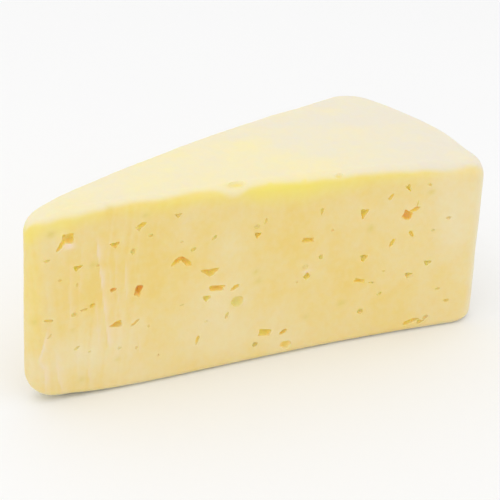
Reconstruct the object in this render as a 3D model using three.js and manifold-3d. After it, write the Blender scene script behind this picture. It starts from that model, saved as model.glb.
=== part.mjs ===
/**
 * Cheese wedge: one piece cut from a round, semi-hard cheese with small irregular openings.
 *
 * Frame: millimetres, +Z up. The origin lies on the surface that the wedge stands on, half way
 * between its point (towards -X) and its rim (towards +X). The near cut face looks to -Y and the
 * far cut face to +Y.
 */
import * as THREE from 'three';
import { mergeVertices } from 'three/addons/utils/BufferGeometryUtils.js';
import Module from 'manifold-3d';

// ---- Driving dimensions: the wedge in plan ----

const LENGTH = 160;
const HALF_ANGLE = THREE.MathUtils.degToRad(12.4);
const POINT_RADIUS = 4;
const CORNER_RADIUS = 9.4; // between a cut face and the rim
const RIM_RADIUS = 100;
// How far a cut face stands off its flat plane: one wave along its length, then two.
const WANDER = { near: [-1.3, 0.7], far: [1.5, 0.1] };

// ---- Driving dimensions: the wedge in height ----

const HEIGHT = 64; // at the crest, close behind the point
const CREST_AT = 0.1; // share of the length
const POINT_DROP = 3.5; // from the crest down to the point
const RIM_DROP = 6.8; // from the crest down to the rim
const CROWN = 0.6; // the top's middle over its edges
const FOOT_LIFT = 2.2; // the underside rises under the point
const FOOT_LIFT_SHARE = 0.24; // of the length
const FOOT_CURL = 6.2; // the point's foot draws back
const FOOT_CURL_HEIGHT = 11;
const FOOT_CURL_REACH = 25;
const RIM_BULGE = 0.3;
const RIM_BULGE_REACH = 25;

// Edge radii on the cut faces and on the rim, and what the near corner between them adds.
const TOP_EDGE = { side: 3.6, rim: 3.3, corner: 3 };
const FOOT_EDGE = { side: 2.7, rim: 2.9, corner: 0 };
const EDGE_BLEND = 0.1; // share of a cut face over which one radius turns into the other
const CORNER_REACH = 9; // over which the corner's addition dies away

// The top and the underside close on a line along the middle, which stops short of both ends.
const SPINE_FROM_POINT = 14;
const SPINE_FROM_RIM = 30;

// ---- How finely it is faceted ----

const POINT_STEPS = 5;
const SIDE_STEPS = 18;
const CORNER_STEPS = 5;
const RIM_STEPS = 8;
const FOOT_EDGE_STEPS = 3;
const TOP_EDGE_STEPS = 4;
const WALL_LEVELS = [0.06, 0.12, 0.18, 0.4, 0.62, 0.82]; // shares of the upright wall
const CAP_LEVELS = [0.3, 0.65]; // shares of the way from an edge to the middle line
const GAP_STEPS_PER_CORNER = { 2: 4, 3: 3, 4: 2, 5: 2, 6: 2 };

// ---- Openings: gaps left between the curd grains ----

// Near cut face: distance from the point along the face, height, length, breadth, turn in degrees,
// and number of corners (2 is a slit, 3 has one corner at the end of its length, 4 is a block,
// 5 a shallow round dish, 6 a deeper round hole).
const NEAR_GAPS = [
  [8.2, 55, 3.6, 3.1, -4, 4],
  [6.2, 53.2, 4.8, 1.5, -126, 2],
  [11.5, 45, 2.6, 1.8, 20, 3],
  [23, 50.3, 1.9, 3, -83, 3],
  [31.4, 55.4, 3.4, 1.5, 28, 2],
  [30.5, 54.6, 2, 1.3, -65, 3],
  [28.8, 47.2, 2, 1.4, -100, 6],
  [43.4, 56.6, 1.5, 2.2, -97, 3],
  [22.6, 35.5, 2.1, 1.3, 10, 6],
  [30.8, 33.6, 3.5, 2.2, -108, 4],
  [43.4, 41.3, 4.4, 1.6, 34, 2],
  [46.4, 40.6, 4.8, 1.8, -44, 2],
  [48.8, 44.3, 1.9, 1.2, 15, 6],
  [55.8, 47, 2, 1.1, 40, 2],
  [54.7, 35.2, 2.6, 6, -93, 3],
  [57.3, 29.3, 5.2, 1.9, -8, 4],
  [63.5, 28.4, 3.2, 1.5, 25, 2],
  [53.8, 26.3, 2, 2.6, -98, 3],
  [64.4, 23.1, 3.9, 3.5, -10, 5],
  [61, 19, 2.5, 1, -110, 2],
  [51, 12.3, 3, 1.1, -104, 2],
  [15.9, 31.4, 1.8, 1.4, 28, 6],
  [13.2, 30.5, 2.3, 0.9, 8, 2],
  [10, 29.4, 1.6, 1.3, 20, 6],
  [2, 28.8, 2.8, 1, -10, 2],
  [23.5, 23.4, 4, 2.4, 186, 3],
  [29.8, 22.8, 3.3, 1, 36, 2],
  [71.5, 6.3, 1.9, 1.6, 10, 6],
  [70.7, 44.9, 2, 2.2, -98, 3],
  [73.3, 49.5, 2.2, 0.8, -108, 2],
  [92.8, 49.4, 2.3, 1.2, -95, 3],
  [88.6, 40.2, 4.2, 1.5, -6, 4],
  [93.5, 33.4, 1.8, 1.4, -80, 6],
  [88.9, 27.4, 2, 1.9, 42, 4],
  [107.9, 46.1, 3.3, 2.7, -97, 3],
  [109.1, 30.1, 2.5, 2.5, -97, 3],
  [108.2, 22.3, 3.9, 1.3, -17, 4],
  [112.5, 20.8, 2, 0.8, 0, 2],
  [109.2, 10.9, 2, 1.7, 30, 6],
  [117.3, 50.7, 2.5, 1.2, 52, 2],
  [123.5, 52.8, 2.6, 1.5, -60, 3],
  [123.7, 43.3, 3.3, 2.9, -28, 4],
  [126, 44.9, 4.2, 1.4, 20, 2],
  [127.1, 46.7, 2.6, 0.6, 80, 2],
  [138.8, 40.3, 1.7, 1.1, 0, 6],
  [125.7, 36.4, 2.7, 1.4, -58, 2],
  [118.9, 34.2, 3, 1.3, 57, 2],
  [132.4, 24.8, 1.9, 2.6, -98, 3],
  [125.9, 21.3, 2, 2.6, -98, 3],
  [140.8, 9.8, 2, 1.2, -6, 6],
  [127.1, 3.8, 3.6, 1.5, 16, 2],
  [129.7, 4.4, 2.8, 1.6, 7, 3],
  [131.9, 3.4, 2.6, 1.6, 7, 3],
  [133.5, 4.8, 2.1, 1.3, 31, 2],
  [74.9, 9.9, 4.4, 2.3, -12, 4],
  [81.5, 8.7, 2.9, 1.6, 28, 2],
  [82.6, 3.8, 3.8, 2.8, -6, 5],
  [1.7, 48.7, 1.9, 0.9, 4, 2],
  [5.7, 41.7, 1.2, 0.8, 0, 2],
  [11, 39.3, 1.1, 0.8, 84, 2],
  [17.6, 44.5, 1.1, 0.9, 40, 6],
  [34.5, 51.6, 1.6, 1.1, 15, 6],
  [34.3, 20.8, 0.9, 0.8, 0, 6],
  [2.3, 23.5, 1.8, 0.7, 48, 2],
  [11, 17.8, 2, 0.9, 30, 2],
  [15, 15.8, 1, 0.8, 0, 6],
  [24.8, 15.1, 1.3, 0.9, 10, 6],
  [30.4, 14.1, 1, 0.8, 90, 6],
  [70.3, 48.1, 1.8, 1.5, 0, 5],
  [44.8, 47.6, 0.9, 0.8, 0, 6],
  [45.4, 25.9, 1.5, 0.7, 6, 2],
  [54, 18.3, 1.2, 0.8, 0, 6],
  [37.7, 9.9, 1, 0.7, 90, 2],
  [97, 42.3, 1.1, 0.9, -90, 6],
  [88.1, 30.9, 2.1, 1.5, 0, 5],
  [85.4, 26, 0.9, 0.8, 0, 6],
  [115.7, 16.2, 1.8, 1.1, 22, 2],
  [116.8, 24.4, 0.9, 0.8, 0, 6],
  [130.9, 53.2, 1.4, 1, -30, 2],
  [133.4, 36.7, 1.4, 0.9, 0, 2],
  [137.2, 14.8, 1.8, 1, 6, 2],
];

// A round chip out of the near top edge and a flat dimple further along it: distance along the
// face, tilt of the opening's axis above level, length, breadth, depth.
const EDGE_CHIPS = [
  [63.5, 62, 5.4, 3, 0.6],
  [98.5, 40, 2.6, 1.8, 0.4],
];

// The shape of an opening.
const GAP_HOLLOW = { 2: 0.55, 3: 0.4, 4: 0.26, 5: 0.06, 6: 0.06 }; // of a side, by its corners
const GAP_DEPTH = { 2: 0.8, 3: 0.8, 4: 0.8, 5: 0.3, 6: 0.8 }; // times its smaller extent
const GAP_DEEPEST = 1.7;
const GAP_MOUTH = { out: 0.9, scale: 1.08 }; // where a cutter ends outside the face
const GAP_WAIST = { share: 0.6, scale: 0.8 }; // the last ring above the floor, at a share of depth
const GAP_LEAN = 0.25; // the floor sits this much higher than the mouth, times its depth

// Scattered openings of the far cut face, larger and small.
const FAR_GAPS = { count: 40, shortest: 1.8, longest: 5.4, power: 3 };
const SMALL_GAPS = { count: 34, shortest: 0.9, longest: 1.6, power: 1 };
const SCATTERED_CORNERS = [2, 2, 3, 3, 4];
const BREADTH_SHARE = [0.4, 0.75]; // of the length, narrowest and broadest
const GAP_MARGIN = 5; // kept clear at the edges of a cut face
const GAP_SPACING = 3.2; // and around the openings already there
// Fractional parts of whole multiples of these fill a unit square evenly and give the draws.
const SPREAD_STEPS = [0.7548776662, 0.569840291, 0.6180339887, 0.4142135624, 0.7320508076];
const SPREAD_SHIFT = 0.37; // keeps one scattering from repeating another

// ---- Plan outline ----

const sin = Math.sin;
const cos = Math.cos;
const clamp01 = (t) => Math.min(Math.max(t, 0), 1);
const smooth = (t) => clamp01(t) ** 2 * (3 - 2 * clamp01(t));
const mix = (a, b, t) => a + (b - a) * t;

// The near cut face as a line in plan: from the point's arc to the corner's arc.
function nearLine() {
  const along = new THREE.Vector2(cos(HALF_ANGLE), -sin(HALF_ANGLE));
  const inward = new THREE.Vector2(sin(HALF_ANGLE), cos(HALF_ANGLE));
  const pointCentre = new THREE.Vector2(-LENGTH / 2 + POINT_RADIUS, 0);
  const apex = new THREE.Vector2(pointCentre.x - POINT_RADIUS / sin(HALF_ANGLE), 0);
  const rimCentre = new THREE.Vector2(LENGTH / 2 - RIM_RADIUS, 0);
  // The corner's centre lies a corner radius inside the face and inside the rim's circle.
  const offset = apex.clone().addScaledVector(inward, CORNER_RADIUS).sub(rimCentre);
  const half = offset.dot(along);
  const reach = -half + Math.sqrt(half ** 2 - offset.lengthSq() + (RIM_RADIUS - CORNER_RADIUS) ** 2);
  const first = POINT_RADIUS / Math.tan(HALF_ANGLE);
  const start = apex.clone().addScaledVector(along, first);
  const cornerCentre = offset.clone().add(rimCentre).addScaledVector(along, reach);
  return { along, inward, start, length: reach - first, pointCentre, cornerCentre, rimCentre };
}

const LINE = nearLine();

// One half of the outline, from the middle of the point to the middle of the rim, on the -Y side.
// Each place has its plan position, its outward direction and how far along the face it is.
function halfOutline() {
  const places = [];
  const arc = (centre, radius, from, to, steps, onRim) => {
    for (let i = 0; i < steps; i += 1) {
      const angle = mix(from, to, i / steps);
      const outward = new THREE.Vector2(cos(angle), sin(angle));
      places.push({ at: centre.clone().addScaledVector(outward, radius), outward, onRim, run: null });
    }
  };
  const faceAngle = -Math.PI / 2 - HALF_ANGLE;
  const rimAngle = LINE.cornerCentre.clone().sub(LINE.rimCentre).angle() - 2 * Math.PI;
  arc(LINE.pointCentre, POINT_RADIUS, -Math.PI, faceAngle, POINT_STEPS, 0);
  for (let i = 0; i < SIDE_STEPS; i += 1) {
    const run = i / SIDE_STEPS;
    places.push({
      at: LINE.start.clone().addScaledVector(LINE.along, run * LINE.length),
      outward: LINE.inward.clone().negate(),
      onRim: smooth((run - 1 + EDGE_BLEND) / EDGE_BLEND),
      run,
    });
  }
  arc(LINE.cornerCentre, CORNER_RADIUS, faceAngle, rimAngle, CORNER_STEPS, 1);
  arc(LINE.rimCentre, RIM_RADIUS, rimAngle, 0, RIM_STEPS, 1);
  places.push({
    at: new THREE.Vector2(LENGTH / 2, 0),
    outward: new THREE.Vector2(1, 0),
    onRim: 1,
    run: null,
  });
  return places;
}

// How far a cut face stands off its plane, at a share of its length.
function wander(face, run) {
  const [once, twice] = WANDER[face];
  return once * sin(Math.PI * run) + twice * sin(2 * Math.PI * run);
}

// The whole outline: the near half, then the far half as its mirror image, each with its own
// wander. spine is the place on the middle line that the outline shrinks towards.
function outline() {
  const half = halfOutline();
  const spineFirst = -LENGTH / 2 + SPINE_FROM_POINT;
  const spineLast = LENGTH / 2 - SPINE_FROM_RIM;
  const finish = (place, face) => {
    const turn = face === 'far' ? -1 : 1;
    const outward = new THREE.Vector2(place.outward.x, place.outward.y * turn);
    const at = new THREE.Vector2(place.at.x, place.at.y * turn);
    const spine = THREE.MathUtils.clamp(at.x, spineFirst, spineLast);
    if (place.run !== null) at.addScaledVector(outward, wander(face, place.run));
    const past = at.distanceTo(LINE.cornerCentre) - CORNER_RADIUS;
    const atCorner = Math.exp(-((past / CORNER_REACH) ** 2));
    return { at, spine, onRim: place.onRim, atCorner };
  };
  const near = half.map((place) => finish(place, 'near'));
  const far = half.slice(1, -1).reverse().map((place) => finish(place, 'far'));
  return [...near, ...far];
}

// ---- Heights ----

const shareOfLength = (x) => clamp01((x + LENGTH / 2) / LENGTH);

function topHeight(x) {
  const share = shareOfLength(x);
  const towardsPoint = clamp01(1 - share / CREST_AT);
  const towardsRim = clamp01((share - CREST_AT) / (1 - CREST_AT));
  return HEIGHT - POINT_DROP * towardsPoint ** 2 - RIM_DROP * towardsRim ** 2;
}

function footHeight(x) {
  return FOOT_LIFT * clamp01(1 - shareOfLength(x) / FOOT_LIFT_SHARE) ** 2;
}

// The point's foot draws back, and the rim swells a little at mid height.
function shaped(x, y, z) {
  const low = clamp01(1 - z / FOOT_CURL_HEIGHT) ** 2;
  const nearPoint = clamp01(1 - (x + LENGTH / 2) / FOOT_CURL_REACH) ** 2;
  const nearRim = clamp01((x - LENGTH / 2 + RIM_BULGE_REACH) / RIM_BULGE_REACH) ** 2;
  const bulge = RIM_BULGE * sin(Math.PI * clamp01(z / HEIGHT)) * nearRim;
  return [x + FOOT_CURL * low * nearPoint + bulge, y, z];
}

// ---- The plain wedge ----

// Every ring of the surface, from the middle of the underside over the walls to the middle of
// the top. A ring is the outline moved in by an inset, or shrunk towards the middle line.
function wedgeRings() {
  const places = outline();
  const rings = [];
  const ring = (placeOf) => rings.push(places.map(placeOf));
  const radius = (place, edge) => {
    return mix(edge.side, edge.rim, place.onRim) + edge.corner * place.atCorner;
  };
  const inset = (place, distance, share, z) => {
    const reach = Math.hypot(place.at.x - place.spine, place.at.y);
    const scale = (1 - distance / reach) * share;
    const x = place.spine + (place.at.x - place.spine) * scale;
    const height = z(x);
    return shaped(x, place.at.y * scale, height);
  };
  const foot = (share) => {
    ring((p) => inset(p, radius(p, FOOT_EDGE), share, footHeight));
  };
  const crown = (share) => {
    const rise = CROWN * (1 - share ** 2);
    ring((p) => inset(p, radius(p, TOP_EDGE), share, (x) => topHeight(x) + rise));
  };
  foot(0);
  foot(1 - CAP_LEVELS[0]);
  for (let i = 0; i <= FOOT_EDGE_STEPS; i += 1) {
    const angle = (i / FOOT_EDGE_STEPS) * (Math.PI / 2);
    ring((p) => {
      const r = radius(p, FOOT_EDGE);
      return inset(p, r * (1 - sin(angle)), 1, (x) => footHeight(x) + r * (1 - cos(angle)));
    });
  }
  WALL_LEVELS.forEach((level) => {
    ring((p) => {
      const low = footHeight(p.at.x) + radius(p, FOOT_EDGE);
      const high = topHeight(p.at.x) - radius(p, TOP_EDGE);
      return inset(p, 0, 1, () => mix(low, high, level));
    });
  });
  for (let i = 0; i <= TOP_EDGE_STEPS; i += 1) {
    const angle = (i / TOP_EDGE_STEPS) * (Math.PI / 2);
    ring((p) => {
      const r = radius(p, TOP_EDGE);
      return inset(p, r * (1 - cos(angle)), 1, (x) => topHeight(x) - r * (1 - sin(angle)));
    });
  }
  CAP_LEVELS.forEach((level) => crown(1 - level));
  crown(0);
  return rings;
}

// Joins neighbouring rings into a closed mesh. Rings run anticlockwise as seen from above.
function lofted(rings) {
  const count = rings[0].length;
  const index = [];
  for (let i = 0; i + 1 < rings.length; i += 1) {
    for (let j = 0; j < count; j += 1) {
      const next = (j + 1) % count;
      const [a, b] = [i * count + j, i * count + next];
      const [c, d] = [a + count, b + count];
      index.push(a, b, d, a, d, c);
    }
  }
  const geometry = new THREE.BufferGeometry();
  geometry.setAttribute('position', new THREE.Float32BufferAttribute(rings.flat(2), 3));
  geometry.setIndex(index);
  return geometry;
}

// ---- Openings ----

// The place and the directions of an opening: right and up on the surface, and outward. A tilt
// above level puts it on the rounded top edge instead of the flat of the face.
function faceFrame(face, alongFace, height, tilt = 0) {
  const turn = face === 'far' ? -1 : 1;
  const plan = LINE.start.clone().addScaledVector(LINE.along, alongFace);
  plan.addScaledVector(LINE.inward, -wander(face, alongFace / LINE.length));
  const flat = new THREE.Vector3(-LINE.inward.x, -LINE.inward.y * turn, 0);
  const right = new THREE.Vector3(LINE.along.x * turn, LINE.along.y, 0);
  const up = new THREE.Vector3(0, 0, 1);
  const origin = new THREE.Vector3(plan.x, plan.y * turn, height);
  const outward = flat.clone().multiplyScalar(cos(tilt)).addScaledVector(up, sin(tilt));
  if (tilt > 0) {
    origin.z = topHeight(plan.x) - TOP_EDGE.side;
    origin.addScaledVector(flat, -TOP_EDGE.side).addScaledVector(outward, TOP_EDGE.side);
  }
  up.multiplyScalar(cos(tilt)).addScaledVector(flat, -sin(tilt));
  return new THREE.Matrix4().makeBasis(right, up, outward).setPosition(origin);
}

// The outline of an opening with pointed corners and hollow sides: the radius falls from 1 at
// each corner to a share of it half way between two. It is then stretched to reach from -1 to 1
// both ways.
function gapOutline(corners) {
  const steps = corners * GAP_STEPS_PER_CORNER[corners];
  const first = corners === 4 ? Math.PI / 4 : 0;
  const points = Array.from({ length: steps }, (_, i) => {
    const around = (i / steps) * 2 * Math.PI;
    const radius = 1 - GAP_HOLLOW[corners] * Math.abs(sin((corners * around) / 2));
    return [radius * cos(around + first), radius * sin(around + first)];
  });
  const stretched = [0, 1].map((axis) => {
    const values = points.map((point) => point[axis]);
    const [low, high] = [Math.min(...values), Math.max(...values)];
    return values.map((value) => (2 * value - low - high) / (high - low));
  });
  return points.map((_, i) => [stretched[0][i], stretched[1][i]]);
}

// The closed solid that cuts one opening: its outline outside the face, then a smaller one, then
// the floor, which sits higher than the mouth.
function gapCutter(frame, [long, broad, turn, corners], depth) {
  const points = gapOutline(corners);
  const angle = THREE.MathUtils.degToRad(turn);
  const level = (scale, z) => {
    const lean = GAP_LEAN * Math.max(-z, 0);
    return points.map(([x, y]) => {
      const [px, py] = [(x * long * scale) / 2, (y * broad * scale) / 2];
      const across = px * cos(angle) - py * sin(angle);
      const upwards = px * sin(angle) + py * cos(angle) + lean;
      return new THREE.Vector3(across, upwards, z).applyMatrix4(frame).toArray();
    });
  };
  return lofted([
    level(0, -depth),
    level(GAP_WAIST.scale, -depth * GAP_WAIST.share),
    level(GAP_MOUTH.scale, GAP_MOUTH.out),
    level(0, GAP_MOUTH.out),
  ]);
}

// Openings of the far cut face: clear of its edges and of those already there. round tells one
// scattering from another.
function scatteredGaps({ count, shortest, longest, power }, round, taken) {
  const gaps = [];
  for (let index = 1; gaps.length < count; index += 1) {
    const draws = SPREAD_STEPS.map((step, i) => (round * (i + 1) * SPREAD_SHIFT + index * step) % 1);
    const [u, v, size, turn, kind] = draws;
    const along = u * (LINE.length - GAP_MARGIN);
    const ceiling = topHeight(LINE.start.x + along) - TOP_EDGE.side;
    const up = mix(GAP_MARGIN, ceiling - GAP_MARGIN / 2, v);
    const clear = [...taken, ...gaps].every(([otherAlong, otherUp, otherLong]) => {
      const apart = Math.hypot(otherAlong - along, otherUp - up);
      return apart > GAP_SPACING + otherLong / 2;
    });
    if (clear) {
      const long = mix(shortest, longest, size ** power);
      const corners = SCATTERED_CORNERS[Math.floor(kind * SCATTERED_CORNERS.length)];
      const broad = long * mix(...BREADTH_SHARE, corners === 2 ? 0 : size);
      gaps.push([along, up, long, broad, 360 * turn, corners]);
    }
  }
  return gaps;
}

// ---- Booleans ----

const MERGE_DISTANCE = 1e-4;

const wasm = await Module();
wasm.setup();

function toSolid(geometry) {
  const merged = mergeVertices(geometry, MERGE_DISTANCE);
  const corners = merged.index.array;
  const triangles = [];
  for (let i = 0; i < corners.length; i += 3) {
    const [a, b, c] = corners.slice(i, i + 3);
    if (a !== b && b !== c && c !== a) triangles.push(a, b, c);
  }
  const vertProperties = new Float32Array(merged.attributes.position.array);
  return new wasm.Manifold(
    new wasm.Mesh({ numProp: 3, vertProperties, triVerts: new Uint32Array(triangles) }),
  );
}

function toGeometry(solid) {
  const mesh = solid.getMesh();
  const geometry = new THREE.BufferGeometry();
  geometry.setAttribute('position', new THREE.BufferAttribute(mesh.vertProperties, 3));
  geometry.setIndex(new THREE.BufferAttribute(mesh.triVerts, 1));
  geometry.computeVertexNormals();
  return geometry;
}

// ---- The wedge ----

// One cutter for each opening of a cut face.
function faceCutters(face, gaps) {
  return gaps.map(([along, up, ...shape]) => {
    const [long, broad, , corners] = shape;
    const depth = Math.min(Math.min(long, broad) * GAP_DEPTH[corners], GAP_DEEPEST);
    return gapCutter(faceFrame(face, along, up), shape, depth);
  });
}

function edgeCutters() {
  return EDGE_CHIPS.map(([along, tilt, long, broad, depth]) => {
    const frame = faceFrame('near', along, 0, THREE.MathUtils.degToRad(tilt));
    return gapCutter(frame, [long, broad, 0, 5], depth);
  });
}

function cheeseWedge() {
  const farLarge = scatteredGaps(FAR_GAPS, 1, []);
  const cutters = [
    ...faceCutters('near', NEAR_GAPS),
    ...faceCutters('far', farLarge),
    ...faceCutters('far', scatteredGaps(SMALL_GAPS, 2, farLarge)),
    ...edgeCutters(),
  ];
  const plain = toSolid(lofted(wedgeRings()));
  return toGeometry(cutters.reduce((solid, cutter) => solid.subtract(toSolid(cutter)), plain));
}

const paste = new THREE.MeshStandardMaterial({ color: 0xecd690, roughness: 0.45, metalness: 0 });
const wedge = new THREE.Mesh(cheeseWedge(), paste);
wedge.name = 'cheese_wedge';

const model = new THREE.Group();
model.add(wedge);

export default model;
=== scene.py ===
"""Cheese wedge: cut paste with openings, a cream top, rim and underside, and a pale studio floor."""

import math
from collections import namedtuple
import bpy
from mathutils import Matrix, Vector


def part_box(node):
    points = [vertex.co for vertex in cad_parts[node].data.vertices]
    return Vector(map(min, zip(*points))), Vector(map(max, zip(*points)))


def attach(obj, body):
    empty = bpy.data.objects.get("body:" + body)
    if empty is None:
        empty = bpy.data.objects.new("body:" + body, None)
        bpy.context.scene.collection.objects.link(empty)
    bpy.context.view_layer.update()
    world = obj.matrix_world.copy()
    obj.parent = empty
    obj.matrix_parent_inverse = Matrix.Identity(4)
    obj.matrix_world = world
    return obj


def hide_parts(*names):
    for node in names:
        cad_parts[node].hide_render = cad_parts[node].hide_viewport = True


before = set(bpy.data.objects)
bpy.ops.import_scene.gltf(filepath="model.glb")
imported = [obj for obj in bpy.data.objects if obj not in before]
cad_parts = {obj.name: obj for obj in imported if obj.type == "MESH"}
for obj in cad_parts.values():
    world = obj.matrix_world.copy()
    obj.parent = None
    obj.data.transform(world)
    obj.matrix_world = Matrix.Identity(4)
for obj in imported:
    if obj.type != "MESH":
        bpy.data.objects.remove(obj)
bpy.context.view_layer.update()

from types import SimpleNamespace

import bpy
import numpy as np
from bpy.props import FloatProperty, FloatVectorProperty, PointerProperty
from bpy.types import Operator, Panel, PropertyGroup
from mathutils import Matrix, Vector

bl_info = {
    "name": "Cheese Wedge",
    "version": (1, 0, 0),
    "blender": (4, 5, 0),
    "location": "3D View > Sidebar > Cheese",
    "description": "Builds a wedge of semi-hard cheese with small openings on a studio floor",
    "category": "Add Mesh",
}

MM = 0.001
NODE = "cheese_wedge"
LENGTH = -2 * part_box(NODE)[0][0]  # the point lies half a length to the left of the origin

# ---- The form, in metres ----

WANDER = {"near": (-1.3 * MM, 0.7 * MM), "far": (1.5 * MM, 0.1 * MM)}  # one wave, and two waves
CREST_AT = 0.1  # share of the length
FOOT_LIFT_SHARE = 0.24  # of the length, from the point
FOOT_CURL_HEIGHT = 11 * MM
FOOT_CURL_REACH = 25 * MM
RIM_BULGE = 0.3 * MM
RIM_BULGE_REACH = 25 * MM
RIM_EDGE_CHANGE = -0.3 * MM  # the top edge's radius on the rim, against the cut faces'
CORNER_EDGE_CHANGE = 3 * MM  # and what the near corner at the rim adds to it
CORNER_EDGE_REACH = 9 * MM
RIM_FOOT_CHANGE = 0.2 * MM
EDGE_BLEND = 0.1  # share of a cut face over which one radius turns into the other
SPINE_FROM_POINT = 14 * MM  # ends of the middle line that the rings shrink towards
SPINE_FROM_RIM = 30 * MM

# ---- How finely it is meshed ----

POINT_COLUMNS = 12
FINE_REACH = 50 * MM  # from the point, where the drag marks are
FINE_COLUMN = 0.45 * MM
COLUMN = 0.9 * MM
CORNER_COLUMNS = 15
RIM_COLUMNS = 28
FOOT_CAP_RINGS = 5
FOOT_EDGE_RINGS = 8
WALL_RINGS = 62
TOP_EDGE_RINGS = 10
TOP_CAP_RINGS = 20
GAP_STEPS = 30
SMALL_GAP_STEPS = 16
SMALL_GAP_LENGTH = 1.8  # millimetres, under which an opening has the smaller number
SHARP_FROM = 50  # degrees between faces

# ---- Openings: gaps left between the curd grains, in millimetres and degrees ----

# Distance from the point along the cut face, height, length, breadth, turn and number of corners. Two
# corners make a slit, five a shallow dish, and six a round hole.
Gap = namedtuple("Gap", "along up long broad turn corners")

# The near cut face, opening by opening.
NEAR_GAPS = (
    (8.2, 55, 3.6, 3.1, -4, 4),
    (6.2, 53.2, 4.8, 1.5, -126, 2),
    (11.5, 45, 2.6, 1.8, 20, 3),
    (23, 50.3, 1.9, 3, -83, 3),
    (31.4, 55.4, 3.4, 1.5, 28, 2),
    (30.5, 54.6, 2, 1.3, -65, 3),
    (28.8, 47.2, 2, 1.4, -100, 6),
    (43.4, 56.6, 1.5, 2.2, -97, 3),
    (22.6, 35.5, 2.1, 1.3, 10, 6),
    (30.8, 33.6, 3.5, 2.2, -108, 4),
    (43.4, 41.3, 4.4, 1.6, 34, 2),
    (46.4, 40.6, 4.8, 1.8, -44, 2),
    (48.8, 44.3, 1.9, 1.2, 15, 6),
    (55.8, 47, 2, 1.1, 40, 2),
    (54.7, 35.2, 2.6, 6, -93, 3),
    (57.3, 29.3, 5.2, 1.9, -8, 4),
    (63.5, 28.4, 3.2, 1.5, 25, 2),
    (53.8, 26.3, 2, 2.6, -98, 3),
    (64.4, 23.1, 3.9, 3.5, -10, 5),
    (61, 19, 2.5, 1, -110, 2),
    (51, 12.3, 3, 1.1, -104, 2),
    (15.9, 31.4, 1.8, 1.4, 28, 6),
    (13.2, 30.5, 2.3, 0.9, 8, 2),
    (10, 29.4, 1.6, 1.3, 20, 6),
    (2, 28.8, 2.8, 1, -10, 2),
    (23.5, 23.4, 4, 2.4, 186, 3),
    (29.8, 22.8, 3.3, 1, 36, 2),
    (71.5, 6.3, 1.9, 1.6, 10, 6),
    (70.7, 44.9, 2, 2.2, -98, 3),
    (73.3, 49.5, 2.2, 0.8, -108, 2),
    (92.8, 49.4, 2.3, 1.2, -95, 3),
    (88.6, 40.2, 4.2, 1.5, -6, 4),
    (93.5, 33.4, 1.8, 1.4, -80, 6),
    (88.9, 27.4, 2, 1.9, 42, 4),
    (107.9, 46.1, 3.3, 2.7, -97, 3),
    (109.1, 30.1, 2.5, 2.5, -97, 3),
    (108.2, 22.3, 3.9, 1.3, -17, 4),
    (112.5, 20.8, 2, 0.8, 0, 2),
    (109.2, 10.9, 2, 1.7, 30, 6),
    (117.3, 50.7, 2.5, 1.2, 52, 2),
    (123.5, 52.8, 2.6, 1.5, -60, 3),
    (123.7, 43.3, 3.3, 2.9, -28, 4),
    (126, 44.9, 4.2, 1.4, 20, 2),
    (127.1, 46.7, 2.6, 0.6, 80, 2),
    (138.8, 40.3, 1.7, 1.1, 0, 6),
    (125.7, 36.4, 2.7, 1.4, -58, 2),
    (118.9, 34.2, 3, 1.3, 57, 2),
    (132.4, 24.8, 1.9, 2.6, -98, 3),
    (125.9, 21.3, 2, 2.6, -98, 3),
    (140.8, 9.8, 2, 1.2, -6, 6),
    (127.1, 3.8, 3.6, 1.5, 16, 2),
    (129.7, 4.4, 2.8, 1.6, 7, 3),
    (131.9, 3.4, 2.6, 1.6, 7, 3),
    (133.5, 4.8, 2.1, 1.3, 31, 2),
    (74.9, 9.9, 4.4, 2.3, -12, 4),
    (81.5, 8.7, 2.9, 1.6, 28, 2),
    (82.6, 3.8, 3.8, 2.8, -6, 5),
    (1.7, 48.7, 1.9, 0.9, 4, 2),
    (5.7, 41.7, 1.2, 0.8, 0, 2),
    (11, 39.3, 1.1, 0.8, 84, 2),
    (17.6, 44.5, 1.1, 0.9, 40, 6),
    (34.5, 51.6, 1.6, 1.1, 15, 6),
    (34.3, 20.8, 0.9, 0.8, 0, 6),
    (2.3, 23.5, 1.8, 0.7, 48, 2),
    (11, 17.8, 2, 0.9, 30, 2),
    (15, 15.8, 1, 0.8, 0, 6),
    (24.8, 15.1, 1.3, 0.9, 10, 6),
    (30.4, 14.1, 1, 0.8, 90, 6),
    (70.3, 48.1, 1.8, 1.5, 0, 5),
    (44.8, 47.6, 0.9, 0.8, 0, 6),
    (45.4, 25.9, 1.5, 0.7, 6, 2),
    (54, 18.3, 1.2, 0.8, 0, 6),
    (37.7, 9.9, 1, 0.7, 90, 2),
    (97, 42.3, 1.1, 0.9, -90, 6),
    (88.1, 30.9, 2.1, 1.5, 0, 5),
    (85.4, 26, 0.9, 0.8, 0, 6),
    (115.7, 16.2, 1.8, 1.1, 22, 2),
    (116.8, 24.4, 0.9, 0.8, 0, 6),
    (130.9, 53.2, 1.4, 1, -30, 2),
    (133.4, 36.7, 1.4, 0.9, 0, 2),
    (137.2, 14.8, 1.8, 1, 6, 2),
)
# Near top edge: distance along the face, tilt above level, length, breadth, depth.
EDGE_CHIPS = (
    (63.5, 62, 5.4, 3, 0.6),
    (98.5, 40, 2.6, 1.8, 0.4),
)
# Openings of the far face: how many, shortest, longest, and the power that makes long ones rare.
FAR_GAPS = (40, 1.8, 5.4, 3)
SMALL_GAPS = (34, 0.9, 1.6, 1)
SCATTERED_CORNERS = (2, 2, 3, 3, 4)
BREADTH_SHARE = (0.4, 0.75)  # of the length
GAP_MARGIN = 5  # from the edges of the face
GAP_SPACING = 3.2  # from the next opening
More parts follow.
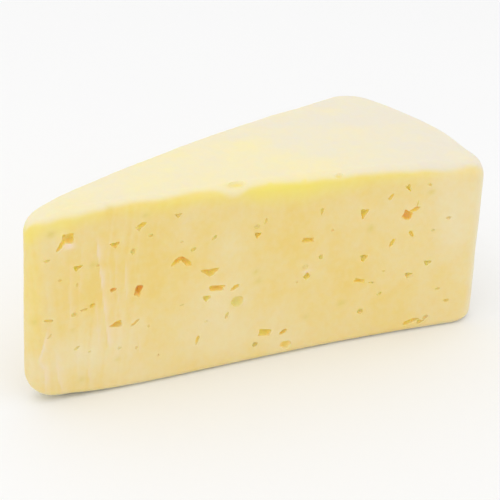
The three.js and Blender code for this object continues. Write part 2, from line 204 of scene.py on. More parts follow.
# Steps that spread the place along and up, the size, the turn and the kind evenly, and where they start.
SPREAD_STEPS = np.array([0.7548776662, 0.569840291, 0.6180339887, 0.4142135624, 0.7320508076])
SPREAD_SHIFT = 0.37
GAP_HOLLOW = {2: 0.55, 3: 0.4, 4: 0.26, 5: 0.06, 6: 0.06}  # of a side, by the number of corners
GAP_DEPTH = {2: 0.8, 3: 0.66, 4: 0.8, 5: 0.3, 6: 0.8}  # times the smaller extent
GAP_DEEPEST = 1.7
SMALL_GAP = (0.8, 2.0)  # mean extents over which openings turn from shallow to full depth
SHALLOW_SHARE = 0.55  # of that depth, for the smallest
GAP_LEAN = 0.25  # the floor sits this much higher than the mouth, times its depth
GAP_CLEARANCE = 0.8  # openings this close are cut one after the other
GAP_WAVES = ((0.05, 3, 1), (0.04, 5, 2.3))  # waves of an outline: height, number, and shift by its seed
# A cutter's rings by their depth: above the face, times the lip's depth, and times the whole depth.
RINGS_ABOVE = np.array([-0.9, -0.9, -0.2])
RINGS_AT_LIP = np.array([0, 0.35, 0.8, 1.4])
RINGS_TO_FLOOR = np.array([0.35, 0.6, 0.8, 0.93, 1, 1])
FLOOR_AREA = 0.02  # times the mouth's
WALL_ROUGHNESS = 0.07  # times the smaller extent
WALL_CELL = 0.9
WALL_ROUGH_FROM = 0.4  # depth

# ---- Marks on the near cut face ----

# Drag marks in millimetres: height, how far each trails off to the right, then its places as distance
# along the face and height.
DRAG_MARKS = (
    (0.16, 1.3, ((17.1, 53.5), (18.1, 44.3), (18.8, 36.8), (20, 27.4), (21.4, 16.7), (22.4, 8))),
    (0.09, 0.6, ((26, 46.5), (26.6, 38.1), (27.2, 31.2), (28.8, 22))),
    (0.07, 0.6, ((17, 33), (17.7, 22.7), (18.4, 14))),
    (0.16, 1.0, ((1.6, 26), (0, 19.3), (-1.3, 15.4), (0.7, 11.5), (1, 3))),
    (0.15, 1.0, ((4.2, 15), (4.8, 8.6), (6.5, 2.6))),
    (0.09, 0.6, ((14.3, 12.5), (14.6, 10.1), (15.6, 3.6))),
    (0.05, 1.4, ((8.8, 47), (8.8, 29), (8.2, 24))),
    (0.04, 0.6, ((12.9, 53), (12.3, 43), (11.6, 34))),
    (0.06, 0.5, ((31, 22), (31.4, 13), (31.8, 5))),
    (0.05, 0.6, ((22.6, 50), (23.4, 38), (24.8, 26))),
    (0.04, 0.5, ((20.6, 46), (22.4, 32), (23.8, 20))),
    (0.05, 0.6, ((11.4, 20), (11.2, 12), (11.6, 3))),
)
DRAG_STEEP = 0.2 * MM  # half the breadth of a mark's bank
DRAG_FADE = 5 * MM  # at both ends
DRAG_WAVER = 0.3 * MM
DRAG_BREAKS = (-0.9, 0.3)  # noise over which a mark comes out of its breaks
MARK_FADE = (0.8 * MM, 2 * MM)  # depths behind the near face over which its marks die out
STREAK_LEAN = ((0, 20 * MM, 40 * MM), (0.12, -0.14, -0.1))  # distances along the face, and leans there
STREAK_LEVEL = 20 * MM  # the height that they lean about
STREAK_END = (26 * MM, 44 * MM)
STREAK_SHARE = 0.8  # their height, times the curd lumps'
RELIEF_FOOT = 3 * MM  # height over which all relief grows from nothing

# Soft places in millimetres: distance along the face, height, reach along, reach up, and how much, which
# is a depth for a dimple and a height for a lip.
# Each dimple's depth also sets how much painted shade it gets.
BLIND_DIMPLES = (
    (3.1, 57.2, 1.5, 1.0, 0.16),
    (16.2, 45.0, 1.4, 0.9, 0.14),
    (12.6, 6.4, 1.3, 0.9, 0.12),
    (70.6, 32.4, 1.0, 1.0, 0.14),
    (71.7, 29.0, 1.3, 0.8, 0.14),
    (89.5, 12.6, 1.3, 0.9, 0.12),
    (110.8, 40.7, 1.1, 1.4, 0.14),
    (102.3, 15.2, 1.6, 0.9, 0.14),
    (131.8, 50.4, 1.3, 0.9, 0.14),
    (24.3, 11.3, 1.2, 0.9, 0.10),
    (32.7, 58.7, 1.2, 0.6, 0.14),
    (-2.1, 28.8, 0.9, 0.8, 0.12),
    (9.7, 24.0, 0.8, 0.6, 0.12),
)
# Each lip's height also sets how much painted highlight it gets, as the paler colour of the drag marks.
LIPS = (
    (8.7, 52.6, 1.6, 1.1, 0.25),
    (88.7, 29.3, 1.6, 0.6, 0.18),
    (67.2, 22.6, 0.8, 1.7, 0.10),
)
# Painted shade in shallow openings: a dark greenish yellow for their hollows.
OLIVE_SHADE_PLACES = (
    (64.4, 23.1, 2.2, 2.0, 0.45),
    (71.5, 6.3, 1.4, 1.2, 0.2),
    (70.3, 48.1, 1.2, 1.1, 0.45),
    (88.1, 30.9, 1.3, 1.1, 0.2),
)
# Openings whose painted shade is warmer orange (above 0) or duller (below 0) than the others'.
GAP_SHADE_TINTS = (
    (30.8, 34.4, 2.4, 2.4, 1.2),
    (22.6, 35.5, 1.6, 1.6, 1.8),
    (123.7, 43.3, 2.2, 2.2, 0.9),
    (45.5, 41.8, 3.0, 3.0, 0.5),
    (8.2, 54.6, 2.6, 2.6, 0.55),
    (88.6, 40.2, 2.6, 2.6, 0.2),
    (108.2, 22.3, 2.6, 2.6, 0.4),
    (57.6, 29.3, 2.4, 2.4, 0.4),
    (15.9, 31.4, 1.3, 1.3, 1.0),
    (11.5, 45.0, 1.6, 1.6, 0.4),
    (70.7, 44.9, 1.5, 1.5, 0.4),
    (81.5, 8.7, 1.6, 1.6, 0.4),
    (64.4, 23.1, 2.6, 2.6, -0.9),
    (82.6, 3.8, 2.6, 2.6, 0.4),
    (70.3, 48.1, 1.5, 1.5, -0.8),
    (88.1, 30.9, 1.5, 1.5, -0.8),
    (109.1, 29.8, 1.8, 1.8, -0.6),
    (53.8, 26.3, 1.8, 1.8, -0.8),
    (54.7, 35.2, 3.0, 1.8, 0.5),
    (132.4, 24.8, 1.8, 1.8, -0.7),
    (125.9, 21.3, 1.8, 1.8, -0.7),
    (88.9, 27.4, 1.6, 1.6, 0.5),
    (51.0, 12.3, 1.6, 1.6, 0.5),
    (117.3, 50.7, 1.6, 1.6, 0.9),
    (127.2, 45.6, 1.4, 1.2, 0.6),
    (31.0, 55.0, 2.2, 1.8, 0.35),
    (23.5, 23.4, 2.4, 2.4, 0.5),
    (93.5, 33.4, 1.4, 1.4, -0.6),
)
# Paler (above 0) and deeper (below 0) places of the paste.
TONE_PATCHES = (
    (34, 43, 11, 13, -0.22),
    (24, 36, 24, 12, -0.26),
    (60, 25, 11, 10, 0.30),
    (62, 46, 8, 9, 0.12),
    (10, 13, 22, 8, 0.30),
    (142, 42, 10, 18, 0.55),
    (106, 22, 12, 8, -0.22),
    (82, 47, 11, 12, -0.32),
    (100, 40, 9, 9, -0.16),
    (60, 10, 22, 7, 0.18),
    (78, 12, 8, 6, 0.12),
    (113, 45, 12, 8, 0.08),
    (6, 44, 6, 12, 0.08),
    (115, 32, 9, 8, -0.26),
    (138, 18, 8, 8, -0.16),
    (16, 35, 6, 6, -0.20),
    (78, 23, 5, 5, -0.20),
    (81, 39, 7, 4, -0.16),
    (80, 6, 8, 4, 0.32),
    (28, 20, 5, 4, 0.16),
    (47, 17, 9, 6, 0.14),
    (136, 57, 10, 5, 0.16),
    (8, 6, 15, 6, -0.26),
)
# Border of the cream on the near top edge: distance along the face, and its shift towards the top.
CREAM_BORDER = (
    (-8, 3.0), (-2.5, 2.0), (0, 0.1), (3, -1.4), (6, -1.0), (11, -2.2), (16, -1.2), (19, -1.3),
    (23, -0.3), (29, 0.1), (37, -0.7), (48, 0.6), (56, 0.3), (58.5, -1.6), (60.5, -3.3), (62.5, -3.7),
    (64.5, -3.0), (67.5, -0.8), (74, -0.2), (81, -1.1), (87, -1.7), (93, -1.0), (99, -1.9), (103, -0.9),
    (116, -0.8), (125, -1.4), (130, -0.6), (136, -1.5), (142, -0.9), (146, 1.0),
)
# Yellow places on the near top edge, and dimples of the edge with painted shade in dark greenish yellow:
# distance
# # along the face and across the edge, reach along and across, and how much.
EDGE_SPOTS = (
    (86.3, -0.9, 0.8, 0.9, 0.8),
    (98.5, -0.8, 1.2, 1.0, 1.0),
    (74.5, -0.6, 0.7, 1.2, 0.8),
    (61.6, 1.7, 2.2, 1.6, 0.6),
    (64.2, 1.1, 1.8, 1.5, 0.8),
)
# Dimples of the edge, which get painted shade.
EDGE_DIMPLES = (
    (63.0, 1.4, 2.8, 1.5, 0.15),
    (21.4, -0.9, 1.3, 1.5, 0.35),
)
# Strength of the lemon band: distance along the near face, and how much.
LEMON_BAND = (
    (-8, 0.75), (2, 0.45), (6, 0.7), (14, 0.45), (18, 0.35), (23, 0.2), (29, 0.3), (38, 0.42), (50, 0.45),
    (62, 0.5), (72, 0.85), (86, 0.95), (94, 0.7), (102, 0.6), (110, 0.42), (122, 0.5), (134, 0.25),
    (146, 0.1),
)
PROFILE_SHIFTS = (-1.5, -0.9, -0.3, 0.3, 0.9, 1.5)  # places whose mean rounds such a profile
FAR_BORDER = -0.7  # the border's shift and the band's strength all along the far face
FAR_BAND = 0.5
# Yellower (above 0) and whiter (below 0) places of the top: x, y, reach along x and y, and how much.
TOP_PATCHES = (
    (-62, -2, 16, 12, -0.15),
    (6, 7, 7, 6, 0.45),
    (8, -8, 12, 6, 0.25),
    (22, -15, 16, 4, 0.35),
    (16, 1.5, 4, 2.5, -0.3),
    (28, 17, 5, 3, -0.25),
    (9, 15, 4, 2.5, -0.3),
    (53, 21, 5, 3, 0.35),
    (44, -1, 10, 8, 0.2),
    (-28, 2, 2, 2, 0.4),
    (-18, 11, 2.5, 2, 0.3),
    (12, -20, 16, 3.5, 0.3),
)

# ---- Unevenness: the cell's size, the number of layers where there are several, and the seed ----

LATTICE_START = 500.0  # cells, so that none has a number below 0
BROAD_WAVES = (24 * MM, 2, 3)
CURD_LUMPS = (4.5 * MM, 2, 11)
FINE_STREAKS = ((0.9 * MM, 1, 17 * MM), 17)
WIDE_STREAKS = ((2.1 * MM, 1, 26 * MM), 18)
WAVER_NOISE = (6 * MM, 31)
BREAK_CELL = (9 * MM, 9 * MM, 5 * MM)
BREAK_SEED = 60  # of the first drag mark
BORDER_NOISE = (7 * MM, 2, 41)
FOOT_NOISE = (9 * MM, 2, 43)
BAND_NOISE = (14 * MM, 2, 47)
SMEAR_NOISE = (8 * MM, 2, 51)
PALE_NOISE = (14 * MM, 3, 53)
BUTTER_NOISE = ((26 * MM, 13 * MM, 26 * MM), 3, 59)
AMBER_NOISE = (5 * MM, 61)

# ---- How the colours spread ----

NEAR_COLOURS = (1.5 * MM, 6 * MM)  # depths behind the near face over which its own colours fade out
CHIP_REACH = 2 * MM  # nearer to the top edge than this, an opening keeps the colours around it and gets no painted shade
BORDER_SOFT = 1.6  # half the breadth of the cream's border at the top, in millimetres
BORDER_UNEVEN = (0.6, 0.35)  # on the far face and on the near one
FOOT_SOFT = 1.0  # the same at the foot
FOOT_UNEVEN = 0.5
RIM_CREAM = (66 * MM, 77 * MM)  # places along X between which the cream takes over
SPOT_SHARE = 0.8  # what a spot takes from the cream
BAND_STARTS = 2.0  # where the lemon band starts to fade, in millimetres below the top edge
BAND_ENDS = (4.5, 8)  # where it ends when weak, and how much lower at full strength
BAND_UNEVEN = 1.2
POINT_LEMON = 0.2  # on the upper part of the point, by place along the face and height
POINT_ALONG = (-2.5 * MM, 2.5 * MM)
POINT_UP = (12 * MM, 34 * MM)
SMEAR_PALE = 0.12  # a pale smear low on the face, from the point to the last drag mark
SMEAR_ALONG = (30.2 * MM, 31.4 * MM)
SMEAR_UP = (13 * MM, 24 * MM)
SMEAR_UNEVEN = 3 * MM
PALE_LEVEL = 0.4
PALE_UNEVEN = 0.22
PALE_STREAKS = 0.24
BUTTER_MOST = 0.74
BUTTER_ALONG = (0.95, 0.35)  # shares of the length with none and with the most
BUTTER_UNEVEN = 0.3
FULL_MARK = 0.16 * MM  # height of a drag mark that is coloured in full
FULL_LIP_HIGHLIGHT = 0.25  # height of a lip whose painted highlight is full, in millimetres
DIMPLE_SHADE = 4  # painted shade in a dimple, for each millimetre of depth
# Painted shade and warm interreflected light inside the openings: it deepens with depth, small openings take
# a dull dark yellow, and tinted ones run to orange.
FULL_GAP_SHADE = 0.8 * MM  # depth from which an opening has its full painted shade
DULL_GAP_SHADE = (2.5, 1.5)  # mean extents over which the painted shade of openings turns dull
AMBER_LEVEL = 0.5
DULLNESS = 0.45
TINT_SHARE = 0.5
AMBER_UNEVEN = 0.1

# ---- Paste and studio ----

# Noises of the paste: cells to a metre, and detail.
MOTTLE = (420, 4.0)
BLOTCH = (90, 3.0)
FINE_GRAIN = (1500, 3.0)
COARSE_GRAIN = (450, 2.0)
MOTTLE_SHARE = 0.6  # of the way from the deep to the pale colour
BLOTCH_SHARE = 0.8
COARSE_SHARE = 1.4  # times the fine grain
MARK_SHARE = 0.9  # how far a full mark covers the paste
GRAIN_STRENGTH = 0.22
GRAIN_HEIGHT = 0.25 * MM
ROUGHNESS = 0.36
ROUGHNESS_SWING = 0.18  # what the mottling adds
FLOOR_REACH = 3.0
FLOOR_NOISE = (3, 2.0)
FLOOR_TURNS = (0.3, 0.7)  # noise over which it turns darker
FLOOR_DRIFT = 0.99  # its darker tone, times its colour
SOFT_BOX_SIZE = 0.9
SOFT_BOX_AT = (-0.25, -0.15, 0.9)
SENSOR_WIDTH = 36  # millimetres
NEAREST_SEEN = 0.01


# ---- Numbers ----


def mix(first, second, share):
    """The first value plus a share of the way to the second."""
    return first + (second - first) * share


def smoothstep(low, high, value):
    """0 below low, 1 above high, and an eased rise between them."""
    share = np.clip((value - low) / (high - low), 0, 1)
    return share * share * (3 - 2 * share)


def bell(distance, reach):
    """1 in the middle, falling off as a Gaussian of the distance over the reach."""
    return np.exp(-((distance / reach) ** 2))


def rounded_profile(value, table):
    """Straight lines between the table's rows, with their corners rounded by a mean over places close by."""
    shifted = [np.interp(value + shift, *np.transpose(table)) for shift in PROFILE_SHIFTS]
    return sum(shifted) / len(shifted)


def lattice_draws(cell, seed):
    """A draw from 0 to 1 for each lattice cell: its whole numbers times large odd numbers, added up and
    scrambled by shifts."""
    mixed = cell[..., 0] * 374761393 + cell[..., 1] * 668265263 + cell[..., 2] * 1103515245
    mixed = (mixed + seed * 974634777) & 0xFFFFFFFF
    mixed = ((mixed ^ (mixed >> 13)) * 1274126177) & 0xFFFFFFFF
    mixed ^= mixed >> 16
    return (mixed & 0xFFFF) / 0xFFFF


def noise(points, size, seed=0):
    """Smooth noise from -1 to 1: draws on a lattice of that cell size, mixed by eased shares along the
    three axes."""
    scaled = points / np.asarray(size) + LATTICE_START
    cell = np.floor(scaled).astype(np.int64)
    share = scaled - cell
    share = share * share * (3 - 2 * share)
    total = 0.0
    for corner in np.ndindex(2, 2, 2):
        offset = np.array(corner)
        weight = np.prod(np.where(offset == 1, share, 1 - share), axis=-1)
        total = total + weight * lattice_draws(cell + offset, seed)
    return total * 2 - 1


def layered_noise(points, size, octaves, seed=0):
    """Noise of one size plus halves of it at half the size, and so on, scaled back to about -1 to 1."""
    layers = [noise(points, np.asarray(size) / 2**i, seed + i) / 2**i for i in range(octaves)]
    return sum(layers) / (2 - 0.5 ** (octaves - 1))


# ---- The plan outline ----


def near_line(size):
    """The near cut face as a line in plan, from the point's arc to the corner's. The corner's centre lies a
    corner radius inside the face and inside the rim's circle."""
    angle = size.half_angle
    along = np.array([math.cos(angle), -math.sin(angle)])
    inward = np.array([math.sin(angle), math.cos(angle)])
    point_centre = np.array([-LENGTH / 2 + size.point_radius, 0.0])
    apex = point_centre - np.array([size.point_radius / math.sin(angle), 0.0])
    rim_centre = np.array([LENGTH / 2 - size.rim_radius, 0.0])
    offset = apex + inward * size.corner_radius - rim_centre
    half = offset @ along
    inner = size.rim_radius - size.corner_radius
    reach = -half + math.sqrt(half**2 - offset @ offset + inner**2)
    first = size.point_radius / math.tan(angle)
    return SimpleNamespace(
        along=along,
        inward=inward,
        start=apex + along * first,
        length=reach - first,
        point_centre=point_centre,
        corner_centre=offset + rim_centre + along * reach,
        rim_centre=rim_centre,
    )


def wander(face, run):
    """How far a cut face stands off its plane at a share of its length: one wave and two waves."""
    once, twice = WANDER[face]
    return once * np.sin(np.pi * run) + twice * np.sin(2 * np.pi * run)


def arc_places(centre, radius, first, last, count, on_rim):
    """Places on an arc from the first angle up to the last, which the next section begins with. Each row
    holds x, y, the outward direction's x and y, the share that is rim, and the share along a cut face."""
    angle = np.linspace(first, last, count, endpoint=False)
    outward = np.stack([np.cos(angle), np.sin(angle)], axis=1)
    extra = np.tile([on_rim, np.nan], (count, 1))
    return np.hstack([centre + radius * outward, outward, extra])


def side_places(line):
    """Places along the near cut face, closer together near the point."""
    fine = np.arange(0, FINE_REACH, FINE_COLUMN)
    coarse_count = int(round((line.length - FINE_REACH) / COLUMN))
    coarse = np.linspace(FINE_REACH, line.length, coarse_count, endpoint=False)
    run = np.concatenate([fine, coarse]) / line.length
    at = line.start + run[:, None] * line.length * line.along
    outward = np.tile(-line.inward, (len(run), 1))
    on_rim = smoothstep(1 - EDGE_BLEND, 1, run)
    return np.hstack([at, outward, on_rim[:, None], run[:, None]])


def plan_outline(size, line):
    """The whole outline anticlockwise from the point's middle: the near half, then its mirror image, each cut
    face with its own wander. spine is the place on the middle line that a place shrinks towards."""
    face_angle = -math.pi / 2 - size.half_angle
    to_corner = line.corner_centre - line.rim_centre
    rim_angle = math.atan2(to_corner[1], to_corner[0])
    half = np.vstack(
        [
            arc_places(line.point_centre, size.point_radius, -math.pi, face_angle, POINT_COLUMNS, 0),
            side_places(line),
            arc_places(line.corner_centre, size.corner_radius, face_angle, rim_angle, CORNER_COLUMNS, 1),
            arc_places(line.rim_centre, size.rim_radius, rim_angle, 0, RIM_COLUMNS, 1),
            [[LENGTH / 2, 0, 1, 0, 1, np.nan]],
        ]
    )
    mirrored = half[1:-1][::-1] * np.array([1, -1, 1, -1, 1, 1])
    both = np.vstack([half, mirrored])
    at, outward, on_rim, run = both[:, :2], both[:, 2:4], both[:, 4], both[:, 5]
    spine = np.clip(at[:, 0], -LENGTH / 2 + SPINE_FROM_POINT, LENGTH / 2 - SPINE_FROM_RIM)
    is_near = np.arange(len(both)) < len(half)
    off = np.where(is_near, wander("near", run), wander("far", run))
    at = at + outward * np.nan_to_num(off)[:, None]
    reach = np.hypot(at[:, 0] - spine, at[:, 1])
    past_corner = np.linalg.norm(at - line.corner_centre, axis=1) - size.corner_radius
    at_corner = bell(past_corner, CORNER_EDGE_REACH)
    return SimpleNamespace(
        x=at[:, 0], y=at[:, 1], spine=spine, reach=reach, on_rim=on_rim, at_corner=at_corner
    )


# ---- Heights and the plain surface ----


def share_of_length(x):
    """0 at the point and 1 at the rim."""
    return np.clip(x / LENGTH + 0.5, 0, 1)


def top_height(size, x):
    """The crest's height less two parabolas, one falling to the point and one to the rim."""
    share = share_of_length(x)
    to_point = np.clip(1 - share / CREST_AT, 0, 1)
    to_rim = np.clip((share - CREST_AT) / (1 - CREST_AT), 0, 1)
    return size.height - size.point_drop * to_point**2 - size.rim_drop * to_rim**2


def foot_height(size, x):
    """0, and a parabola that rises under the point."""
    return size.foot_lift * np.clip(1 - share_of_length(x) / FOOT_LIFT_SHARE, 0, 1) ** 2


def shaped(size, x, y, z):
    """Points with the point's foot drawn back and the rim swollen a little at mid height."""
    low = np.clip(1 - z / FOOT_CURL_HEIGHT, 0, 1) ** 2
    near_point = np.clip(1 - (x + LENGTH / 2) / FOOT_CURL_REACH, 0, 1) ** 2
    near_rim = np.clip((x - LENGTH / 2 + RIM_BULGE_REACH) / RIM_BULGE_REACH, 0, 1) ** 2
    bulge = RIM_BULGE * np.sin(np.pi * np.clip(z / size.height, 0, 1)) * near_rim
    return np.stack([x + size.foot_curl * low * near_point + bulge, y, z], axis=-1)


def wedge_grid(size, plan):
    """The surface as rings by columns. A ring is the outline moved in by an inset and shrunk towards the
    middle line by a share: the underside, the foot's quarter round, the upright wall, the top's quarter round
    and the crowned top."""
    foot_radius = size.foot_edge + RIM_FOOT_CHANGE * plan.on_rim
    top_radius = size.top_edge + RIM_EDGE_CHANGE * plan.on_rim + CORNER_EDGE_CHANGE * plan.at_corner

    def rings(inset, share, height):
        scale = (1 - inset / plan.reach) * share
        x = plan.spine + (plan.x - plan.spine) * scale
        return shaped(size, x, plan.y * scale, height(x) + 0 * x)

    cap = np.linspace(0, 1, FOOT_CAP_RINGS, endpoint=False)[:, None]
    turn = np.linspace(0, np.pi / 2, FOOT_EDGE_RINGS)[:, None]
    level = np.linspace(0, 1, WALL_RINGS + 2)[1:-1, None]
    top_turn = np.linspace(0, np.pi / 2, TOP_EDGE_RINGS)[:, None]
    crown = np.linspace(1, 0, TOP_CAP_RINGS + 1)[1:, None]
    low = foot_height(size, plan.x) + foot_radius
    high = top_height(size, plan.x) - top_radius
    return np.concatenate(
        [
            rings(foot_radius, cap, lambda x: foot_height(size, x)),
            rings(
                foot_radius * (1 - np.sin(turn)),
                1,
                lambda x: foot_height(size, x) + foot_radius * (1 - np.cos(turn)),
            ),
            rings(0 * level, 1, lambda x: mix(low, high, level)),
            rings(
                top_radius * (1 - np.cos(top_turn)),
                1,
                lambda x: top_height(size, x) - top_radius * (1 - np.sin(top_turn)),
            ),
            rings(top_radius, crown, lambda x: top_height(size, x) + size.crown * (1 - crown**2)),
        ]
    )


def grid_normals(grid):
    """Outward directions: the cross product of the steps along a ring and from ring to ring, and straight
    down and up on the two closing lines."""
    around = np.roll(grid, -1, axis=1) - np.roll(grid, 1, axis=1)
    upward = np.gradient(grid, axis=0)
    normal = np.cross(around, upward)
    normal /= np.maximum(np.linalg.norm(normal, axis=-1, keepdims=True), 1e-12)
    normal[0] = (0, 0, -1)
    normal[-1] = (0, 0, 1)
    return normal


def lofted(grid):
    """The grid as triangles between neighbouring rings, with the last column joined to the first, points
    that fall together merged, and collapsed triangles dropped."""
    rings, columns = grid.shape[:2]
    ring, column = np.meshgrid(np.arange(rings - 1), np.arange(columns), indexing="ij")
    a = ring * columns + column
    b = ring * columns + (column + 1) % columns
    c, d = a + columns, b + columns
    triangles = np.concatenate(
        [np.stack([a, b, d], -1).reshape(-1, 3), np.stack([a, d, c], -1).reshape(-1, 3)]
    )
    points, joined = np.unique(grid.reshape(-1, 3).round(8), axis=0, return_inverse=True)
    triangles = joined.reshape(-1)[triangles]
    whole = (triangles != np.roll(triangles, 1, axis=1)).all(axis=1)
    return points, triangles[whole]


# ---- Where a point lies on the wedge ----


def face_place(points, line, face):
    """Distance along a cut face, height, and depth behind the face, which wanders off its plane."""
    turned = points[..., :2] * (1, -1 if face == "far" else 1)
    along = (turned - line.start) @ line.along
    depth = (turned - line.start) @ line.inward + wander(face, np.clip(along / line.length, 0, 1))
    return along, points[..., 2], depth


def edge_place(points, size, line):
    """How far a point lies past the top edges, across the cream: its depth behind the nearer cut face less
    its depth below the top. The same for the foot."""
    depth = np.minimum(face_place(points, line, "near")[2], face_place(points, line, "far")[2])
    x, z = points[..., 0], points[..., 2]
    return depth - (top_height(size, x) - z), depth - (z - foot_height(size, x))


def near_weight(points, line):
    """1 on the near cut face, falling to 0 close behind it."""
    return 1 - smoothstep(*MARK_FADE, face_place(points, line, "near")[2])


def drag_ridges(points, line):
    """The drag marks: a steep bank on each line that trails off to its right, broken up along its length and
    faded out at both ends. Each line gives the distance along the face for a height by straight steps."""
    along, up, _ = face_place(points, line, "near")
    waver = DRAG_WAVER * noise(points, *WAVER_NOISE)
    total = np.zeros(along.shape)
    for index, (ridge, trail, places) in enumerate(DRAG_MARKS):
        alongs, heights = np.transpose(places)[:, ::-1] * MM
        past = along - np.interp(up, heights, alongs) - waver
        fade = smoothstep(heights[0] - DRAG_FADE / 2, heights[0] + DRAG_FADE, up)
        fade = fade * (1 - smoothstep(heights[-1] - DRAG_FADE, heights[-1] + DRAG_FADE / 2, up))
        fade = fade * smoothstep(*DRAG_BREAKS, noise(points, BREAK_CELL, BREAK_SEED + index))
        bank = smoothstep(-DRAG_STEEP, DRAG_STEEP, past)
        total = total + ridge * MM * fade * bank * np.exp(-np.maximum(past, 0) / (trail * MM))
    return total * near_weight(points, line)


def streaks(points, line):
    """Streaks from -1 to 1, the mean of a fine and a wide noise, drawn out along the drag marks and fading
    towards the middle of the near face."""
    along, up, _ = face_place(points, line, "near")
    lean = np.interp(along, *STREAK_LEAN)
    drawn = np.stack([along + lean * (up - STREAK_LEVEL), 0 * along, up], axis=-1)
    both = noise(drawn, *FINE_STREAKS) + noise(drawn, *WIDE_STREAKS)
    return 0.5 * both * near_weight(points, line) * (1 - smoothstep(*STREAK_END, along))


def ovals(across, up, places):
    """The sum of oval bells, one for each place, as much as it says."""
    total = np.zeros(across.shape)
    for at, height, reach_across, reach_up, amount in places:
        oval = ((across / MM - at) / reach_across) ** 2 + ((up / MM - height) / reach_up) ** 2
        total = total + amount * np.exp(-oval)
    return total


def relief(points, size, line):
    """How far the surface stands off the plain form: broad waves, curd lumps and streaks drawn out upwards,
    drag ridges, soft dimples and lips. It dies out towards the underside."""
    along, up, _ = face_place(points, line, "near")
    waves = size.waves * layered_noise(points, *BROAD_WAVES)
    lumps = size.lumps * layered_noise(points, *CURD_LUMPS)
    lumps = lumps + STREAK_SHARE * size.lumps * streaks(points, line)
    soft = ovals(along, up, LIPS) - ovals(along, up, BLIND_DIMPLES)
    height = waves + lumps + drag_ridges(points, line) + soft * MM * near_weight(points, line)
    return height * smoothstep(0, RELIEF_FOOT, points[..., 2])


# ---- Openings ----


def scattered_gaps(rule, turn_of, taken, size, line):
    """Openings that no list gives. Fractional parts of whole multiples of fixed steps place them evenly,
    clear of the edges and of those already there, and give their size, turn and shape."""
    count, shortest, longest, power = rule
    shift = turn_of * np.arange(1, len(SPREAD_STEPS) + 1) * SPREAD_SHIFT
    gaps = []
    index = 0
    while len(gaps) < count:
        index += 1
        u, v, grade, turn, kind = (shift + index * SPREAD_STEPS) % 1
        along = u * (line.length / MM - GAP_MARGIN)
        ceiling = float(top_height(size, line.start[0] + along * MM) - size.top_edge) / MM
        up = mix(GAP_MARGIN, ceiling - GAP_MARGIN / 2, v)
        others = (*taken, *gaps)
        apart = [math.hypot(gap.along - along, gap.up - up) - gap.long / 2 for gap in others]
        if min(apart, default=GAP_SPACING + 1) > GAP_SPACING:
            long = mix(shortest, longest, grade**power)
            corners = SCATTERED_CORNERS[int(kind * len(SCATTERED_CORNERS))]
            broad = long * mix(*BREADTH_SHARE, 0 if corners == 2 else grade)
            gaps.append(Gap(along, up, long, broad, 360 * turn, corners))
    return gaps


def gap_frame(face, along, up, tilt, size, line):
    """Origin and the directions right, up and outward of an opening. A tilt above level puts it on the round
    of the top edge."""
    mirror = np.array([1, -1 if face == "far" else 1])
    plan = line.start + line.along * along - line.inward * wander(face, along / line.length)
    flat = np.array([*(-line.inward * mirror), 0.0])
    right = np.array([line.along[0] * mirror[1], line.along[1], 0.0])
    level = np.array([0.0, 0.0, 1.0])
    outward = flat * math.cos(tilt) + level * math.sin(tilt)
    upward = level * math.cos(tilt) - flat * math.sin(tilt)
    origin = np.array([*(plan * mirror), up])
    if tilt > 0:
        origin[2] = top_height(size, plan[0]) - size.top_edge
        origin += (outward - flat) * size.top_edge
    origin = origin + outward * relief(origin, size, line)
    return origin, np.stack([right, upward, outward])


def gap_outline(corners, steps, seed):
    """A closed outline that reaches from -1 to 1 both ways: the radius falls from 1 at each corner by the
    sine of the way to the next, with a little waviness of its own."""
    around = np.linspace(0, 2 * np.pi, steps, endpoint=False)
    first = np.pi / 4 if corners == 4 else 0.0
    radius = 1 - GAP_HOLLOW[corners] * np.abs(np.sin(corners * around / 2))
    for height, number, shift in GAP_WAVES:
        radius = radius + height * np.sin(number * around + shift * seed)
    points = radius[:, None] * np.stack([np.cos(around + first), np.sin(around + first)], axis=1)
    low, high = points.min(axis=0), points.max(axis=0)
    return (2 * points - low - high) / (high - low)


def gap_cutter(gap, face, tilt, depth, seed, size, line):
    """The closed solid that cuts one opening. Its outline is widest outside the face, eases in to full size
    just below it, and narrows as the square root of one less the cube of the depth's share, down to a floor
    that sits higher than the mouth, so that the sill slopes."""
    along, up, long, broad, turn, corners = gap
    origin, axes = gap_frame(face, along * MM, up * MM, tilt, size, line)
    steps = SMALL_GAP_STEPS if long < SMALL_GAP_LENGTH else GAP_STEPS
    steps = steps // corners * corners
    outline = gap_outline(corners, steps, seed) * (long / 2, broad / 2)
    lip = size.mouth_round / MM
    down = np.concatenate([RINGS_ABOVE, lip * RINGS_AT_LIP, depth * RINGS_TO_FLOOR])
    down = np.maximum.accumulate(np.minimum(down, depth))
    share = np.clip(down / depth, 0, 1)
    flare = size.mouth_flare * np.exp(-np.maximum(down, 0) / lip)
    scale = np.sqrt(np.maximum(1 - share**3, FLOOR_AREA)) + flare
    scale[[0, -1]] = 0
    angle = math.radians(turn)
    spin = np.array([[math.cos(angle), math.sin(angle)], [-math.sin(angle), math.cos(angle)]])
    flat = scale[:, None, None] * outline @ spin
    flat[..., 1] += GAP_LEAN * np.maximum(down, 0)[:, None]
    local = np.concatenate([flat, np.broadcast_to(-down[:, None, None], (*flat.shape[:2], 1))], axis=-1)
    rough = WALL_ROUGHNESS * min(long, broad) * smoothstep(0, WALL_ROUGH_FROM, down)[:, None]
    rough = rough * (scale > 0)[:, None]
    for axis in range(2):
        local[..., axis] += rough * noise(local + seed, WALL_CELL, 5 + axis)
    grid = origin + local * MM @ axes
    return lofted(grid[::-1])


def mean_extent(gap):
    """The mean of the length and the breadth."""
    return (gap.long + gap.broad) / 2


def gap_depth(gap):
    """A share of the smaller extent, up to the deepest, and only a part of that for a small opening."""
    depth = min(min(gap.long, gap.broad) * GAP_DEPTH[gap.corners], GAP_DEEPEST)
    return depth * mix(SHALLOW_SHARE, 1, smoothstep(*SMALL_GAP, mean_extent(gap)))


